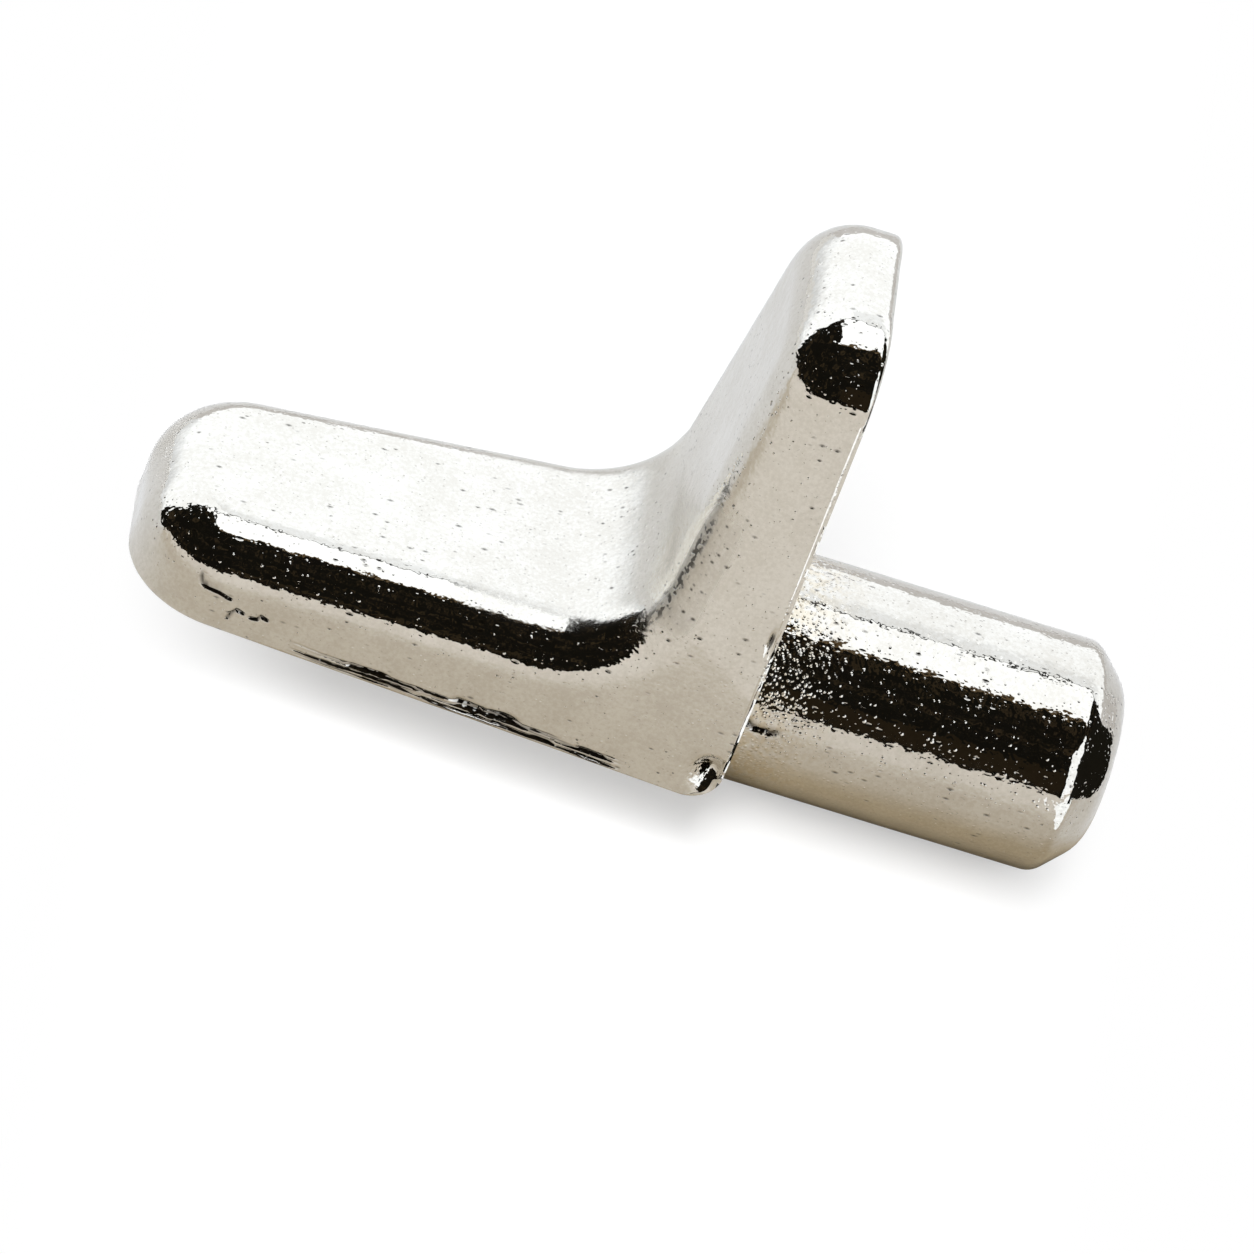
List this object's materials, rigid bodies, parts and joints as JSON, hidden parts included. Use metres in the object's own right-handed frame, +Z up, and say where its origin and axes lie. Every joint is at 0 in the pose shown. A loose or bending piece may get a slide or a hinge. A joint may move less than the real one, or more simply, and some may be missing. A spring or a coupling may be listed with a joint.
{
  "type": "shelf support pin",
  "caption": "Cast shelf support: a chamfered round pin behind an L-shaped bracket, whose flat platform carries a shelf and whose tapering plate braces against the cabinet side.",
  "frame": {"origin": "on the pin's axis, in the plane of the flat rear face that lies against the cabinet side", "axes": "+X along the pin to its free end, +Z up the plate to its free end as the part lies in the picture, Y across. Fitted in a cabinet the part is turned over about X: -Z points up, the shelf lies on the shelf face and the plate hangs below it"},
  "size_m": [0.0208, 0.0072, 0.013],
  "materials": {
    "nickel_plating": "bright nickel plating on a zinc die casting, mirror-like with a slightly uneven cast skin and fine pits"
  },
  "bodies": {
    "root": {"shelf_pin": "nickel_plating"}
  },
  "joints": []
}
